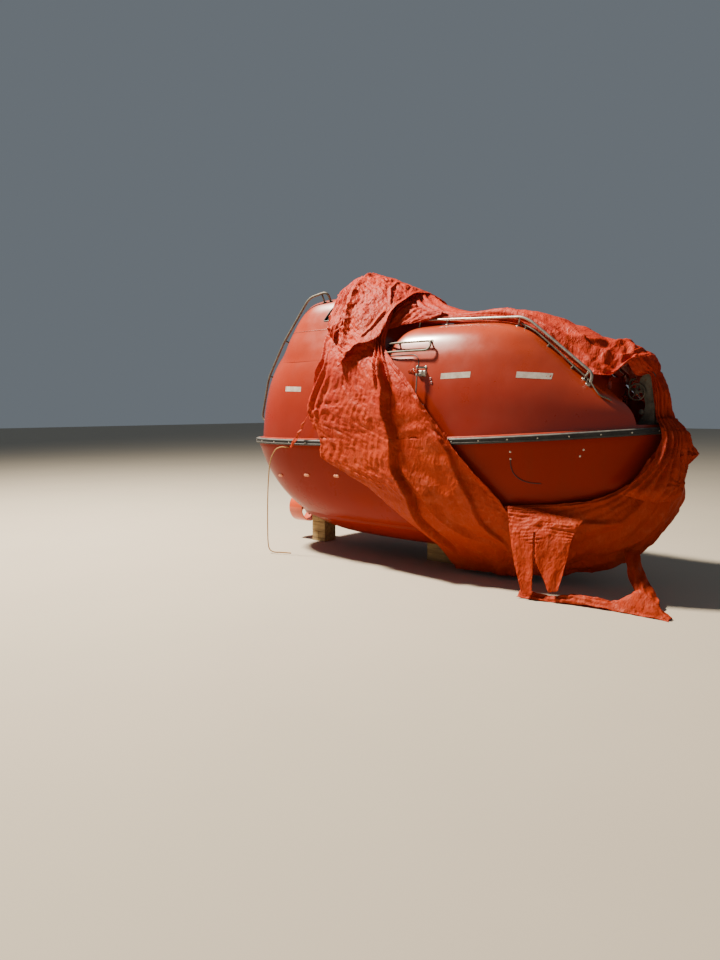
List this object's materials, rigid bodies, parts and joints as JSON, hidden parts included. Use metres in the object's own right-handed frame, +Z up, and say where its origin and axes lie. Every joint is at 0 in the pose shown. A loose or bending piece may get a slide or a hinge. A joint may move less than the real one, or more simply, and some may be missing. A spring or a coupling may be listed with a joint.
{
  "type": "totally enclosed lifeboat under a torn cover",
  "caption": "Enclosed rigid lifeboat with steering tower, side and stern hatches, lifting hooks, nozzle-steered propeller and draped cover, on timber blocks.",
  "frame": {"origin": "on the ground, on the centreline, at half the hull's length, on the underside of the middle keel block", "axes": "+X forward to the bow, +Y to port, +Z up"},
  "size_m": [5.265, 2.2379, 3.426],
  "materials": {
    "gelcoat": "faded orange gelcoat on moulded glass-reinforced plastic",
    "liner": "pale grey flowcoat",
    "fender_rubber": "black rubber rubbing fender",
    "window_glass": "dark tinted window",
    "steel": "dull stainless tube",
    "weathered_steel": "weathered grey steel",
    "bronze": "cast propeller bronze",
    "nozzle_paint": "orange paint",
    "engine_paint": "grey paint",
    "timber": "rough sawn softwood",
    "rope_fibre": "laid fibre rope",
    "cover_cloth": "crinkled woven tarpaulin, orange red"
  },
  "bodies": {
    "boat": {"hull": "gelcoat", "canopy": "gelcoat", "steering_tower": "gelcoat", "fender": "fender_rubber", "tower_window_starboard": "window_glass", "tower_window_port": "window_glass", "tower_window_front": "window_glass", "tower_window_aft": "window_glass", "starboard_hatch": "gelcoat", "starboard_hatch_hinge": "steel", "port_hatch_hinge": "steel", "stern_hatch_hinge": "steel", "bow_hatch": "gelcoat", "bow_hook_post": "weathered_steel", "stern_hook_post": "weathered_steel", "skeg": "gelcoat", "handrail_starboard": "steel", "handrail_port": "steel", "stern_rail_starboard": "steel", "stern_rail_port": "steel", "grab_rail_starboard": "steel", "grab_rail_port": "steel", "bench_starboard": "liner", "bench_port": "liner", "engine": "engine_paint", "keel_block_aft": "timber", "keel_block_mid": "timber", "rope": "rope_fibre", "cover_tower": "cover_cloth", "cover_ridge": "cover_cloth", "cover_sling": "cover_cloth"},
    "port_hatch": {"port_hatch": "gelcoat"},
    "stern_hatch": {"stern_hatch": "gelcoat"},
    "propeller": {"propeller": "bronze"},
    "steering_nozzle": {"steering_nozzle": "nozzle_paint"},
    "bow_hook": {"bow_hook": "weathered_steel"},
    "stern_hook": {"stern_hook": "weathered_steel"}
  },
  "joints": [
    {"name": "propeller_spin", "type": "hinge", "parent": "boat", "child": "propeller", "pos_m": [-2.29, 0, 0.425], "axis": [1, 0, 0], "continuous": true},
    {"name": "nozzle_steer", "type": "hinge", "parent": "boat", "child": "steering_nozzle", "pos_m": [-2.29, 0, 0.425], "axis": [0, 0, 1], "range_deg": [-35, 35]},
    {"name": "port_hatch_swing", "type": "hinge", "parent": "boat", "child": "port_hatch", "pos_m": [0.292, 1.052, 1.69], "axis": [0, 0.0995, -0.995], "range_deg": [0, 105]},
    {"name": "stern_hatch_lift", "type": "hinge", "parent": "boat", "child": "stern_hatch", "pos_m": [-2.14, 0, 2.497], "axis": [0, 1, 0], "range_deg": [0, 95]},
    {"name": "bow_hook_release", "type": "hinge", "parent": "boat", "child": "bow_hook", "pos_m": [2.258, 0, 2.017], "axis": [0, 1, 0], "range_deg": [0, 60]},
    {"name": "stern_hook_release", "type": "hinge", "parent": "boat", "child": "stern_hook", "pos_m": [-2.258, 0, 1.855], "axis": [0, -1, 0], "range_deg": [0, 60]}
  ]
}
